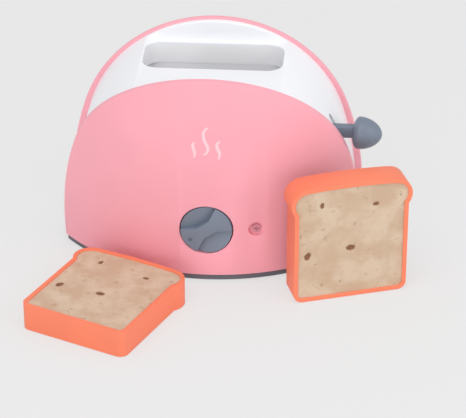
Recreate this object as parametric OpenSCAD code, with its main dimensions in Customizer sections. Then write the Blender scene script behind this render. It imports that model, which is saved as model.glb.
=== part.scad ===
// Toy toaster with a wind-up dial, a push-down lever and two slices of play bread.
// Millimetres, +Z up, front towards -Y, origin on the table under the middle of the toaster.

/* [Body] */
// Width across the widest part of the front and back panels
body_w = 210; // [205:1:220]
// Height from the table to the top of the panels
body_h = 154; // [149:1:160]
// Distance from the origin forwards to the middle of the front panel
front_y = 55; // [54:1:60]
// Distance from the origin backwards to the back panel
back_y = 50; // [49:1:58]
// How much less than half the width the radius of the round top is
crown_in = 5.5; // [4:0.5:9]
// Height at which the panels are widest
waist_z = 22; // [16:1:28]
// Plan radius of the bowed front panel
bow_r = 134; // [128:1:142]
// Thickness of the front and back panels
panel_t = 4; // [3.6:0.1:4.4]
// How far the panels' rims stand out past the white shell at the sides
rim_reveal = 5; // [4:0.1:6]
// How far they stand out past it at the top
top_reveal = 1.5; // [1:0.1:2.5]
// Wall of the white shell
shell_wall = 2.5; // [2:0.1:3]

/* [Bread slot] */
// Length of the slot in the top
slot_l = 97; // [93:1:101]
// Width of the slot in the top
slot_w = 41.5; // [40:0.5:43]
// Radius of the slot's corners
slot_corner = 11; // [6:1:16]
// Distance of the slot's middle behind the origin
slot_y = 16.4; // [15:0.2:17]
// Depth of the flat floor round the slot, below the top of the panels
floor_drop = 15.5; // [14.5:0.1:16.5]
// Half length of the flat floor
dish_x = 52; // [51:0.5:55]
// Plan radius of the floor's front edge
dish_r = 92; // [86:1:100]
// Thickness of the lip between the floor and the front panel, in the middle
front_lip = 1.5; // [1.2:0.1:2.4]
// Thickness of the lip between the floor and the back panel
back_lip = 4; // [2:0.5:6]
// Depth of the collar under the slot
collar_h = 16; // [13:0.5:18]

/* [Base] */
// Height of the grey strip under the panels
base_h = 5; // [4.5:0.1:6]
// How far the strip is set in from the panels
base_inset = 1.8; // [1:0.1:2.4]
// Thickness of the base floor
floor_t = 3; // [2.8:0.1:3.4]
// Diameter of a rubber pad under the base
pad_d = 12; // [9:0.5:14]

/* [Lever] */
// Depth of the lever arm at rest, below the top of the panels
lever_down = 59.8; // [59:0.2:62]
// Distance of the lever ahead of the origin
lever_y = 4; // [3:0.2:4.2]
// Travel of the lever along its sloping rail
lever_travel = 27; // [20:1:27]
// Slope of the rail from the vertical
rail_tilt = 15; // [12:1:16]
// Height of the arm
arm_h = 7.5; // [6:0.1:8]
// Thickness of the arm
arm_t = 6.9; // [5.5:0.1:7.1]
// Diameter of the knob
knob_d = 22.6; // [18:0.2:24]
// Length of the knob
knob_l = 20.8; // [18:0.2:24]
// How far the knob's inner end stands out past the edge of the panels
knob_out = 6.1; // [5:0.1:8]
// Dip of the knob's outer end, in degrees
knob_dip = 5; // [0:1:8]
// Diameter of the sloping rail
rail_d = 3; // [2.6:0.1:3.4]

/* [Bread lift] */
// Depth of the top of the lift plate below the lever arm
lift_below = 5.3; // [4.5:0.1:6]
// Thickness of the lift plate
lift_t = 2.5; // [2:0.1:3]
// Diameter of the upright guide posts
post_d = 5; // [4:0.2:5.4]
// Distance of the guide posts from the toast well
post_out = 9.1; // [8.6:0.1:10]
// Wire diameter of the return springs
spring_wire = 1; // [0.7:0.1:1.2]
// Turns in each return spring
spring_turns = 13; // [8:1:16]

/* [Dial and timer] */
// Height of the dial's middle
dial_z = 40.5; // [40:0.5:42]
// Diameter of the dial
dial_d = 35.5; // [33:0.5:36.5]
// Gap round the dial in its cup
dial_gap = 0.9; // [0.6:0.1:1.2]
// Depth of the dial's cup behind the front panel's face
cup_depth = 8.5; // [8:0.1:9]
// How far the grip bar stands out in front of the panel
grip_proud = 0.3; // [0:0.1:2]
// Width of the grip bar at its waist
grip_w = 9; // [7.6:0.2:11]
// Depth of the finger hollows on both sides of the grip bar
hollow_depth = 5; // [3:0.2:5.6]
// Direction of the grip bar, from the horizontal
grip_turn = 35; // [0:5:90]
// Diameter of the dial's spindle
spindle_d = 6; // [5:0.2:6.4]
// Tooth size of the wheels, as the gear module
tooth = 0.5; // [0.46:0.02:0.52]

/* [Front screw] */
// Distance of the front screw from the middle
screw_x = 34.3; // [33:0.1:36]
// Diameter of its recess
recess_d = 11.2; // [9:0.2:12]
// Depth of its recess
recess_depth = 2; // [1.8:0.1:3]

/* [Bread slices] */
// Width of a slice between its straight sides
slice_w = 80; // [70:1:82]
// Height of a slice
slice_h = 88; // [78:1:92]
// Thickness of a slice
slice_t = 19.3; // [16:0.1:20]
// How far each ear stands out past the sides
ear_out = 2.5; // [1.5:0.5:4]
// Radius of an ear
ear_r = 12; // [9:0.5:15]
// Width of the crust round the bread face
crust_w = 2.8; // [2:0.1:4]
// Depth of the bread face below the crust's edge
face_drop = 1; // [0.5:0.1:1.5]

/* [Hidden] */

$fn = 96;
eps = 0.01;
far = 400;                                  // longer than anything in the toaster

// clearances
slide_gap = 0.1;                            // round a part that slides or turns on a rod
move_gap = 0.6;                             // beside a part that moves past another
seat_gap = 0.2;                             // round a part that drops into its seat

// An arched outline is [half width, top, crown radius]: a crown circle that runs smoothly into
// two larger side circles, which are widest at waist_z.
half_w = body_w / 2;
crown_r = half_w - crown_in;
panel_arch = [half_w, body_h, crown_r];
shell_arch = [half_w - rim_reveal, body_h - top_reveal, crown_r - rim_reveal];
function crown_mid(o) = o[1] - o[2];
function side_r(o) = (pow(crown_mid(o) - waist_z, 2) + pow(o[0], 2) - pow(o[2], 2)) / (2 * (o[0] - o[2]));
function join_angle(o) = atan2(crown_mid(o) - waist_z, side_r(o) - o[0]);
function crown_x(o, z) = sqrt(pow(o[2], 2) - pow(z - crown_mid(o), 2));
function side_x(o, z, inset) = o[0] - side_r(o) + sqrt(pow(side_r(o) - inset, 2) - pow(z - waist_z, 2));

// the bowed front: a circle in plan with its middle behind the toaster
bow_y = bow_r - front_y;
function bow_at(x, r) = bow_y - sqrt(pow(r, 2) - pow(x, 2));
inner_r = bow_r - panel_t;                  // inner face of the front panel
back_in = back_y - panel_t;                 // inner face of the back panel

// base
deck_z = floor_t;                           // top of the base tray's floor
ledge_w = 6.2;                              // ledge that carries the panels
upstand_t = 2;
upstand_h = 5;
base_screw_l = 11;
pads_at = [[50, -33], [88, back_y - 12]];
pad_t = 1.4;

// screws
shank_r = 1.5;
head_r = 3.2;
head_h = 1.6;
hole_r = 1.7;
post_boss_r = 4.5;

// pillars across the shell, for the back screws and the front panel's pegs
pillar_r = 4.5;
pillar_top_a = 36;
pillar_bite = 0.15;                         // how deep a pillar runs into the shell's wall
pillar_reach = shell_arch[2] - shell_wall - pillar_r + pillar_bite;
pillar_top = [pillar_reach * cos(pillar_top_a), crown_mid(shell_arch) + pillar_reach * sin(pillar_top_a)];
pillar_low_z = 28;
pillar_low = [side_x(shell_arch, pillar_low_z, shell_wall) - pillar_r + pillar_bite, pillar_low_z];
peg_r = 2;
peg_l = 7;
screw_l = 14;
foot_boss_x = side_x(shell_arch, base_h, shell_wall) - 9.5;    // bosses that screw the shell to the base
foot_boss_y = 12;
foot_boss_h = 17;

// floor round the slot
dish_z = body_h - floor_drop;
dish_front = front_y - panel_t - front_lip;
dish_back = back_in - back_lip;

// toast well
collar_t = 2;
well_gap = 0.4;                             // from the slot's edge to the well's walls
well_t = 2;
well_x = slot_l / 2 + well_gap;             // half length inside
well_y = slot_w / 2 + well_gap;             // half width inside
well_top = dish_z - collar_h - 0.2;
well_floor = 42;
leg_r = 4.5;
legs_x = 44;
legs_y = [slot_y - 18, slot_y + 18];
vent_pitch = 12;                            // slots in the well's floor and in the lift plate
vent_w = 6;

// lever rail: runs down and outwards from the upper right pillar
lever_z = body_h - lever_down;
rail_r = rail_d / 2;
rail_dir = [sin(rail_tilt), 0, -cos(rail_tilt)];
rail_low_z = 52;
function rail_x(z) = pillar_top[0] + (pillar_top[1] - z) * tan(rail_tilt);
lever_drop = lever_travel * cos(rail_tilt);
lever_side = lever_travel * sin(rail_tilt);
block = [12, 7.6, 12];                      // block of the lever that rides on the rail
pin_x = rail_x(lever_z) - 7.6;              // drive pin that lifts the carriage
pin_r = 2;
yoke_t = 3;
yoke_y = -lever_y + block[1] / 2 + 0.4;     // front face of the carriage's yoke
knob_x = crown_x(panel_arch, lever_z) + knob_out;
knob_low = 0.8;                             // how far the knob sits below the arm's middle
knob_socket = 1.5;                          // depth of the arm's end in the knob
tenon = 4.4;
tenon_l = 11;

// lever slot in the shell
lever_slot_w = arm_t + 0.8;
lever_slot_top = lever_z + arm_h / 2 + 8.3;
lever_slot_low = lever_z - lever_drop - arm_h / 2 - move_gap;

// lift
lift_z = lever_z - lift_below;
post_x = well_x + well_t + post_out;
plate_x = well_x - 2;
plate_y = well_y - 2.5;
lug_w = 8;                                  // width of the end arms
bush_r = 5;
bush_l = 18;
bush_low = lift_z - 10.5;
post_top = well_top - 6.5;
post_boss_h = 12;
catch_x = [24, 30];                         // tab that the latch holds down
catch_h = 4.5;
catch_mid = (catch_x[0] + catch_x[1]) / 2;
catch_inset = 2.8;                          // from the plate's front edge to the catch's rivet
rivet_r = 1.2;
arm_depth = 6.5;                            // arms and eyes of the lift
eye_r = 7;

// chassis: upright plate between the well and the timer
chassis_y = slot_y - well_y - well_t;       // its back face, against the well
chassis_t = 2;
chassis_x = 46;
chassis_top = well_top - 4.3;
chassis_front = chassis_y - chassis_t;
foot_r = 4;                                 // bosses for the screws from below
foot_h = 12;
chassis_screw = [40, chassis_front - foot_r - 1];
window_x = [10, 38];                        // openings high in the chassis that make it lighter
window_z = [chassis_top - 22, chassis_top - 8];

// dial and timer, front to back
cup_r = dial_d / 2 + dial_gap;
cup_t = 2;
cup_floor_y = -front_y + cup_depth;
dial_back_y = cup_floor_y - 0.5;
dial_face_y = -front_y - grip_proud;
spindle_seat = 5;                           // depth of the spindle's end in the dial
grip_flare = [5, 0.58];                     // where the grip bar starts to widen, and how fast
spindle_r = spindle_d / 2;
plate_t = 1.5;
back_plate_y = chassis_front - 3.5;         // back face of the timer's back plate
train_gap = 18.5;                           // between the timer's plates
front_plate_y = back_plate_y - plate_t - train_gap;
main_teeth = 56;
pinion_teeth = 12;
second_teeth = 48;
escape_pinion_teeth = 10;
escape_teeth = 15;
pressure = 25;                              // pressure angle of the teeth
second_dist = tooth * (main_teeth + pinion_teeth) / 2;
second_a = 135;
escape_dist = tooth * (second_teeth + escape_pinion_teeth) / 2;
escape_a = 20;
second_at = [second_dist * cos(second_a), dial_z + second_dist * sin(second_a)];
escape_at = [second_at[0] + escape_dist * cos(escape_a), second_at[1] + escape_dist * sin(escape_a)];
escape_r = 6.5;
pallet_dist = 9.6;
pallet_a = 15;
pallet_at = [escape_at[0] + pallet_dist * cos(pallet_a), escape_at[1] + pallet_dist * sin(pallet_a)];
arbor_r = 1.5;
pivot_r = 1;
timer_x = [-28, 21];
timer_z = [dial_z - 16.5, dial_z + 28.5];
timer_holes = [[timer_x[0] + 3, timer_z[0] + 3], [timer_x[1] - 3, timer_z[0] + 3],
    [timer_x[0] + 3, timer_z[1] - 3], [timer_x[1] - 3, timer_z[1] - 3]];
timer_screw_r = 1.1;
spring_stud_a = 200;
spring_out_r = 9.4;
spring_strip = 0.4;
stud_at = spring_out_r + spring_strip + 1;
main_y = front_plate_y + 2.5;               // front face of the main wheel
second_y = main_y + 3.3;                    // front face of the second wheel
escape_y = second_y + 6.2;                  // front face of the escape wheel
mainspring_y = second_y + 3;
mainspring_l = 8.5;

// latch
latch_at = [38, dial_z + 11.5];
latch_t = 2.2;
latch_y = chassis_front - 0.7;              // back face of the latch lever
latch_open = 20;                            // rest position, clear of the carriage's catch
catch_low = lift_z - lever_drop;            // top of the catch when the lift is down
tail_tip = [-28.5, -10];                    // working corner of its tail, from the pivot, when shut
dial_turn = 270;                            // turn of the dial that lets the latch shut

// front screw
front_screw_y = bow_at(screw_x, bow_r) + recess_depth;         // floor of its recess
front_boss_y = -front_y + 17;

// slices: near left corner on the table, and turn
flat_slice_at = [-119.4, -123.9];
flat_slice_turn = -24.3;
upright_slice_at = [61.9, -80.6];
upright_slice_turn = 18.7;
web_t = 3;                                  // web inside the crust that carries the pads
foot_corner_r = 6;
top_bow_r = 420;

pink = [0.96, 0.66, 0.71];
white = [0.94, 0.95, 0.97];
slate = [0.46, 0.50, 0.56];
grey = [0.42, 0.43, 0.46];
steel = [0.72, 0.73, 0.75];
brass = [0.80, 0.66, 0.36];
orange = [0.94, 0.50, 0.36];
bread = [0.85, 0.76, 0.65];

// ---- shared shapes ----

module along_y(at, y0, y1, r) {
    translate([at[0], y1, at[1]]) rotate([90, 0, 0]) cylinder(h = y1 - y0, r = r);
}

module box(low, high) {
    translate(low) cube(high - low);
}

// Upright outline o, set in by inset.
module arch(o, inset) {
    join_z = crown_mid(o) + (o[2] - inset) * sin(join_angle(o));
    intersection() {
        translate([side_r(o) - o[0], waist_z]) circle(side_r(o) - inset, $fn = 360);
        translate([o[0] - side_r(o), waist_z]) circle(side_r(o) - inset, $fn = 360);
        translate([-far / 2, -far / 2]) square([far, far / 2 + join_z]);
    }
    translate([0, crown_mid(o)]) circle(o[2] - inset, $fn = 240);
}

module arch_prism(o, inset) {
    rotate([90, 0, 0]) translate([0, 0, -far / 2]) linear_extrude(far) arch(o, inset);
}

// Column whose plan is the bowed front's circle.
module bow(r) {
    translate([0, bow_y, -eps]) cylinder(h = far, r = r, $fn = 360);
}

// Plan of the toaster: bowed in front, flat behind and at the ends, set in by inset.
module plan(inset, z0, z1, end = half_w) {
    translate([0, 0, z0]) linear_extrude(z1 - z0) intersection() {
        translate([0, bow_y]) circle(bow_r - inset, $fn = 360);
        translate([-min(end, half_w - inset), -front_y - 1])
            square([2 * min(end, half_w - inset), front_y + 1 + back_y - inset]);
    }
}

// Box on one side of the middle, from a to b out from it.
module side_box(side, a, b, y0, y1, z0, z1) {
    box([side > 0 ? a : -b, y0, z0], [side > 0 ? b : -a, y1, z1]);
}

// The slot's outline with its round corners, grown by grow.
module slot(grow, z0, z1) {
    x = slot_l / 2 - slot_corner;
    y = slot_w / 2 - slot_corner;
    r = slot_corner + grow;
    translate([0, slot_y, z0]) linear_extrude(z1 - z0) {
        square([2 * x, 2 * (y + r)], center = true);
        square([2 * (x + r), 2 * y], center = true);
        for (side = [-1, 1], end = [-1, 1]) translate([side * x, end * y]) circle(r);
    }
}

// Points of an Archimedean spiral band.
function spiral(r0, r1, turns, t, n) = concat(
    [for (i = [0 : n]) let (a = 360 * turns * i / n, r = r0 + (r1 - r0) * i / n)
        [r * cos(a), r * sin(a)]],
    [for (i = [n : -1 : 0]) let (a = 360 * turns * i / n, r = r0 + (r1 - r0) * i / n + t)
        [r * cos(a), r * sin(a)]]);

// Involute gear outline with a little backlash; the first tooth points along +X.
function roll(r, rb) = sqrt(max(pow(r / rb, 2) - 1, 0));
function involute(r, rb) = roll(r, rb) * 180 / PI - atan(roll(r, rb));
function gear_points(teeth, m) =
    let (pitch = m * teeth / 2, rb = pitch * cos(pressure), tip = pitch + 0.85 * m,
        root = pitch - 1.15 * m, start = max(rb, root + 0.1 * m),
        half = 90 / teeth * 0.9 + involute(pitch, rb), radii = [start, (start + tip) / 2, tip])
    [for (k = [0 : teeth - 1]) let (a = 360 * k / teeth) each concat(
        [[root * cos(a - half), root * sin(a - half)]],
        [for (r = radii) let (b = a - half + involute(r, rb)) [r * cos(b), r * sin(b)]],
        [for (i = [2 : -1 : 0]) let (r = radii[i], b = a + half - involute(r, rb))
            [r * cos(b), r * sin(b)]],
        [[root * cos(a + half), root * sin(a + half)]])];

// Gear with its axis along Y, front face at y, turned about its axis by turn.
module gear_y(at, y, teeth, w, turn) {
    translate([at[0], y + w, at[1]]) rotate([90, 0, 0]) rotate(turn)
        linear_extrude(w) polygon(gear_points(teeth, tooth));
}

// Coil spring standing on z0, as one swept tube.
module coil(x, y, z0, z1, r, wire, turns) {
    rings = 10 * turns;
    sides = 6;
    points = [for (i = [0 : rings]) let (a = 360 * turns * i / rings,
        z = z0 + wire / 2 + (z1 - z0 - wire) * i / rings) for (s = [0 : sides - 1])
        let (b = 360 * s / sides, d = r + wire / 2 * cos(b))
        [x + d * cos(a), y + d * sin(a), z + wire / 2 * sin(b)]];
    faces = concat([[for (s = [0 : sides - 1]) s]],
        [for (i = [0 : rings - 1]) for (s = [0 : sides - 1]) let (t = (s + 1) % sides)
            each [[i * sides + s, (i + 1) * sides + s, (i + 1) * sides + t],
                [i * sides + s, (i + 1) * sides + t, i * sides + t]]],
        [[for (s = [sides - 1 : -1 : 0]) rings * sides + s]]);
    polyhedron(points, faces);
}

// Screw with a pan head; its shank points along +Z from the origin, the head below.
module screw(l, r = shank_r, head = head_r) {
    cylinder(h = l, r = r, $fn = 32);
    difference() {
        translate([0, 0, -head_h]) cylinder(h = head_h, r = head, $fn = 48);
        for (turn = [0, 90]) rotate(turn)
            translate([-head * 0.6, -head * 0.13, -head_h - eps])
                cube([head * 1.2, head * 0.26, head_h * 0.6]);
    }
}

// ---- panels ----

module panel_pegs() {
    for (side = [-1, 1], at = [pillar_top, pillar_low])
        let (y = bow_at(at[0], inner_r)) along_y([side * at[0], at[1]], y - 1, y + peg_l, peg_r);
}

module front_panel() color(pink) difference() {
    union() {
        intersection() {
            arch_prism(panel_arch, 0);
            difference() {
                bow(bow_r);
                bow(inner_r);
            }
            box([-half_w, -front_y - 1, base_h], [half_w, front_y / 4, body_h + 1]);
        }
        intersection() {
            bow(bow_r - 0.5);
            union() {
                along_y([0, dial_z], -front_y, cup_floor_y + cup_t, cup_r + cup_t);
                along_y([screw_x, dial_z], -front_y, front_boss_y, recess_d / 2 + 1.6);
            }
        }
        panel_pegs();
    }
    along_y([0, dial_z], -front_y - 1, cup_floor_y, cup_r);
    along_y([0, dial_z], -front_y, cup_floor_y + cup_t + 1, spindle_r + slide_gap);
    along_y([screw_x, dial_z], -front_y - 1, front_screw_y, recess_d / 2);
    along_y([screw_x, dial_z], -front_y, front_boss_y + 1, hole_r);
    lever_relief();
}

// Room behind the front panel's edge for the arm, which moves outwards as it goes down.
module lever_relief() {
    box([rail_x(lever_z), -lever_y - arm_t / 2 - move_gap, lever_slot_low],
        [half_w + 1, 0, lever_z + arm_h / 2 + move_gap]);
}

module back_panel() color(pink) difference() {
    intersection() {
        arch_prism(panel_arch, 0);
        box([-half_w, back_in, base_h], [half_w, back_y, body_h + 1]);
    }
    for (side = [-1, 1], at = [pillar_top, pillar_low]) {
        along_y([side * at[0], at[1]], back_in - 1, back_y + 1, hole_r);
        along_y([side * at[0], at[1]], back_y - head_h - 0.1, back_y + 1, head_r + seat_gap);
    }
}

// ---- white shell ----

// Plan of the sunken floor round the slot, grown by grow.
module dish(grow, z0, z1) {
    translate([0, 0, z0]) linear_extrude(z1 - z0) intersection() {
        translate([0, dish_r - dish_front]) circle(dish_r + grow, $fn = 240);
        translate([-dish_x - grow, -front_y])
            square([2 * (dish_x + grow), front_y + dish_back + grow]);
    }
}

// Room between the panels, inside the shell's outline set in by inset.
module shell_room(inset, z0) {
    intersection() {
        arch_prism(shell_arch, inset);
        bow(inner_r);
        box([-half_w, -front_y, z0], [half_w, back_in, body_h]);
    }
}

module body_shell() color(white) difference() {
    union() {
        difference() {
            shell_room(0, base_h);
            difference() {
                arch_prism(shell_arch, shell_wall);
                dish(shell_wall, dish_z - shell_wall, far);
            }
        }
        intersection() {
            bow(inner_r);
            union() {
                for (side = [-1, 1], at = [pillar_top, pillar_low])
                    along_y([side * at[0], at[1]], -front_y, back_in, pillar_r);
                rail_boss();
            }
        }
        for (side = [-1, 1]) translate([side * foot_boss_x, foot_boss_y, deck_z]) cylinder(h = foot_boss_h, r = foot_r);
        for (side = [-1, 1])
            box([side * (foot_boss_x + 5.5) - 5.5, foot_boss_y - 1.2, base_h + upstand_h + 0.5],
                [side * (foot_boss_x + 5.5) + 5.5, foot_boss_y + 1.2, deck_z + foot_boss_h]);
    }
    dish(0, dish_z, far);
    slot(0, dish_z - shell_wall - 1, far);
    lever_slot();
    for (side = [-1, 1], at = [pillar_top, pillar_low]) {
        along_y([side * at[0], at[1]], back_in - screw_l, back_in + 1, shank_r);
        along_y([side * at[0], at[1]], -front_y, bow_at(at[0], inner_r) + peg_l + 1, peg_r + slide_gap);
    }
    for (side = [-1, 1]) translate([side * foot_boss_x, foot_boss_y, deck_z - 1]) cylinder(h = 12, r = shank_r);
    rail_hole();
}

// Ring glued under the floor, so that the slot looks deep and smooth.
module slot_collar() color(white) difference() {
    intersection() {
        slot(collar_t, dish_z - collar_h, dish_z - shell_wall);
        arch_prism(shell_arch, shell_wall);
    }
    slot(0, dish_z - collar_h - 1, dish_z);
}

// Boss and web low inside the right end, for the foot of the lever's rail.
module rail_boss() {
    x = rail_x(rail_low_z);
    along_y([x, rail_low_z], -lever_y - 5, -lever_y + 5, pillar_r);
    box([x, -lever_y - 2.5, rail_low_z - 2.5], [side_x(shell_arch, rail_low_z, shell_wall) + 1,
        -lever_y + 8, rail_low_z + 2.5]);
}

module rail_hole() {
    translate([rail_x(rail_low_z), -lever_y, rail_low_z]) rotate([0, -rail_tilt, 0])
        cylinder(h = rail_length(), r = rail_r);
}

function rail_length() = (pillar_top[1] - rail_low_z) / cos(rail_tilt);

module lever_slot() {
    w = lever_slot_w;
    box([rail_x(lever_z), -lever_y - w / 2, lever_slot_low], [half_w, -lever_y + w / 2, lever_slot_top - w / 2]);
    translate([rail_x(lever_z), -lever_y, lever_slot_top - w / 2]) rotate([0, 90, 0])
        cylinder(h = half_w, r = w / 2);
}

// ---- frame inside ----

// Floor of the well on its four legs.
module toast_well() color(white) difference() {
    union() {
        box([-well_x - well_t, slot_y - well_y - well_t, well_floor],
            [well_x + well_t, slot_y + well_y + well_t, well_floor + well_t]);
        for (side = [-1, 1], y = legs_y) translate([side * legs_x, y, deck_z])
            cylinder(h = well_floor - deck_z + eps, r = leg_r);
    }
    for (side = [-1, 1], y = legs_y) translate([side * legs_x, y, deck_z - 1])
        cylinder(h = base_screw_l + 5, r = shank_r);
    vents(14, well_floor - 1, well_floor + well_t + 1);
}

// Two long walls with the two end walls between them, which also hold the tops of the guide posts.
module well_walls() color(white) difference() {
    union() {
        for (y = [slot_y - well_y - well_t, slot_y + well_y])
            box([-well_x - well_t, y, well_floor + well_t], [well_x + well_t, y + well_t, well_top]);
        for (side = [-1, 1]) {
            side_box(side, well_x, well_x + well_t, slot_y - well_y, slot_y + well_y, well_floor + well_t, well_top);
            translate([side * post_x, slot_y, post_top - 6]) cylinder(h = 8, r = post_boss_r);
            side_box(side, well_x + 1, post_x, slot_y - 3, slot_y + 3, post_top - 6, post_top + 2);
        }
    }
    for (side = [-1, 1]) {
        translate([side * post_x, slot_y, 0]) cylinder(h = post_top, r = post_d / 2);
        side_box(side, well_x - 1, well_x + well_t + 1, slot_y - lug_w / 2 - move_gap,
            slot_y + lug_w / 2 + move_gap, lift_z - lever_drop - 8, lift_z + 1);
    }
    catch_slot();
}

// Row of slots across, for crumbs and air.
module vents(half, z0, z1) {
    for (k = [-3 : 3]) box([k * vent_pitch - vent_w / 2, slot_y - half, z0],
        [k * vent_pitch + vent_w / 2, slot_y + half, z1]);
}

// Slot in the well's front wall and in the chassis for the carriage's catch.
module catch_slot() {
    box([catch_x[0] - move_gap, chassis_front - 1, lift_z - lever_drop - catch_h - 1],
        [catch_x[1] + move_gap, slot_y - well_y + 1, lift_z + 1]);
}

module chassis() color(white) difference() {
    union() {
        box([-chassis_x, chassis_front, deck_z], [chassis_x, chassis_y, chassis_top]);
        for (at = timer_holes) along_y(at, back_plate_y, chassis_y, 3);
        along_y([screw_x, dial_z], front_boss_y, chassis_y, 4.5);
        for (side = [-1, 1]) {
            translate([side * chassis_screw[0], chassis_screw[1], deck_z]) cylinder(h = foot_h, r = foot_r);
            box([side * chassis_screw[0] - foot_r / 2, chassis_screw[1], deck_z],
                [side * chassis_screw[0] + foot_r / 2, chassis_y, deck_z + foot_h]);
        }
    }
    for (at = timer_holes) along_y(at, back_plate_y - 1, chassis_front + 0.5, timer_screw_r);
    along_y([screw_x, dial_z], front_boss_y - 1, chassis_front - 2, shank_r);
    along_y([0, dial_z], chassis_front - 1, chassis_y + 1, spindle_r + 1);
    along_y(latch_at, chassis_front - 1, chassis_y + 1, 2);
    for (side = [-1, 1]) translate([side * chassis_screw[0], chassis_screw[1], deck_z - 1])
        cylinder(h = base_screw_l, r = shank_r);
    catch_slot();
    for (side = [-1, 1])
        side_box(side, window_x[0], window_x[1], chassis_front - 1, chassis_y + 1, window_z[0], window_z[1]);
}

module base_tray() color(grey) difference() {
    union() {
        plan(base_inset, 0, deck_z);
        difference() {
            plan(base_inset, deck_z - eps, base_h);
            plan(base_inset + ledge_w, deck_z - 1, base_h + 1);
        }
        difference() {
            plan(panel_t + seat_gap, base_h - eps, base_h + upstand_h, upstand_x());
            plan(panel_t + seat_gap + upstand_t, base_h - 1, base_h + upstand_h + 1, upstand_x() - upstand_t);
        }
        for (side = [-1, 1]) translate([side * post_x, slot_y, deck_z - eps])
            cylinder(h = post_boss_h, r = post_boss_r);
    }
    for (side = [-1, 1]) {
        translate([side * post_x, slot_y, deck_z]) cylinder(h = far, r = post_d / 2);
        for (at = pads_at) translate([side * at[0], at[1], -1]) cylinder(h = 1 + pad_t, r = pad_d / 2);
    }
    for (at = base_screw_places()) translate([at[0], at[1], -1]) {
        cylinder(h = far, r = hole_r);
        cylinder(h = 1 + head_h + 0.1, r = head_r + seat_gap);
    }
    for (x = [-18 : 9 : 18]) box([x - 2, 20, -1], [x + 2, 36, deck_z + 1]);
}

function upstand_x() = side_x(shell_arch, base_h, shell_wall) - seat_gap;
function base_screw_places() = [for (side = [-1, 1]) each [[side * legs_x, legs_y[0]],
    [side * legs_x, legs_y[1]], [side * chassis_screw[0], chassis_screw[1]], [side * foot_boss_x, foot_boss_y]]];

// Pads let into the underside, level with it.
module rubber_pads() color(grey) for (side = [-1, 1], at = pads_at)
    translate([side * at[0], at[1], 0]) cylinder(h = pad_t, r = pad_d / 2);

module base_screws() color(steel) for (at = base_screw_places())
    translate([at[0], at[1], head_h + 0.1]) screw(base_screw_l);

module back_screws() color(steel) for (side = [-1, 1], at = [pillar_top, pillar_low])
    translate([side * at[0], back_y - head_h - 0.1, at[1]]) rotate([90, 0, 0]) screw(13);

module front_screw() color(steel)
    translate([screw_x, front_screw_y, dial_z]) rotate([-90, 0, 0]) screw(20);

// ---- lever, rail and lift ----

module guide_posts() color(steel) for (side = [-1, 1])
    translate([side * post_x, slot_y, deck_z]) cylinder(h = post_top - deck_z, r = post_d / 2);

module lever_rail() color(steel) translate([rail_x(rail_low_z), -lever_y, rail_low_z])
    rotate([0, -rail_tilt, 0]) cylinder(h = rail_length(), r = rail_r);

module lever() color(slate) difference() {
    union() {
        translate([rail_x(lever_z), -lever_y, lever_z]) rotate([0, -rail_tilt, 0])
            cube(block, center = true);
        box([pin_x - 4, -lever_y - arm_t / 2, lever_z - arm_h / 2],
            [knob_x + knob_socket, -lever_y + arm_t / 2, lever_z + arm_h / 2]);
        box([knob_x, -lever_y - tenon / 2, lever_z - tenon / 2],
            [knob_x + tenon_l, -lever_y + tenon / 2, lever_z + tenon / 2]);
        along_y([pin_x, lever_z], -lever_y, yoke_y + yoke_t + 0.5, pin_r);
    }
    translate([rail_x(lever_z), -lever_y, lever_z]) rotate([0, -rail_tilt, 0])
        cylinder(h = 40, r = rail_r + slide_gap, center = true);
}

module lever_knob() color(slate) translate([knob_x, -lever_y, lever_z]) difference() {
    translate([0, 0, -knob_low]) rotate([0, 90 + knob_dip, 0])
        rotate_extrude() polygon(egg(knob_d / 2, knob_l));
    box([-20, -arm_t / 2, -arm_h / 2], [knob_socket, arm_t / 2, arm_h / 2]);
    box([-1, -tenon / 2, -tenon / 2], [tenon_l, tenon / 2, tenon / 2]);
}

// Half outline of an egg: round at the inner end, fullest near it, slimmer towards the tip.
function egg(r, l) = let (full = l * 0.23) concat(
    [for (i = [0 : 16]) let (s = i / 16 * 90) [r * sin(s), full * (1 - cos(s))]],
    [for (i = [1 : 20]) let (s = i / 20 * 90) [r * pow(cos(s), 1.1), full + (l - full) * sin(s)]]);

// Slotted plate that carries the bread, with an arm and an eye at each end.
module carriage() color(grey) difference() {
    union() {
        box([-plate_x, slot_y - plate_y, lift_z - lift_t], [plate_x, slot_y + plate_y, lift_z]);
        for (side = [-1, 1]) {
            side_box(side, plate_x - 1, post_x, slot_y - lug_w / 2, slot_y + lug_w / 2, lift_z - arm_depth, lift_z);
            translate([side * post_x, slot_y, lift_z - arm_depth]) cylinder(h = arm_depth, r = eye_r);
        }
        for (y = [slot_y - plate_y + 6, slot_y + plate_y - 8])
            box([-plate_x + 2, y, lift_z - lift_t - 3], [plate_x - 2, y + 2, lift_z - lift_t + eps]);
    }
    for (side = [-1, 1]) translate([side * post_x, slot_y, 0]) cylinder(h = far, r = bush_r);
    translate([catch_mid, slot_y - plate_y + catch_inset, 0]) cylinder(h = far, r = rivet_r, $fn = 32);
    vents(10, 0, lift_z + 1);
}

// Sleeves in the eyes that slide on the posts.
module lift_bushes() color(grey) for (side = [-1, 1]) translate([side * post_x, slot_y, bush_low]) difference() {
    cylinder(h = bush_l, r = bush_r);
    translate([0, 0, -1]) cylinder(h = bush_l + 2, r = post_d / 2 + slide_gap);
}

// Steel tab riveted under the plate's front edge, which the latch holds down.
module lift_catch() color(steel) {
    edge = slot_y - plate_y;
    box([catch_x[0], latch_y - latch_t, lift_z - catch_h], [catch_x[1], edge, lift_z]);
    box([catch_x[0], edge - 1, lift_z - catch_h], [catch_x[1], edge + 2 * catch_inset, lift_z - lift_t]);
    translate([catch_mid, edge + catch_inset, lift_z - catch_h]) cylinder(h = catch_h, r = rivet_r, $fn = 32);
}

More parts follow.
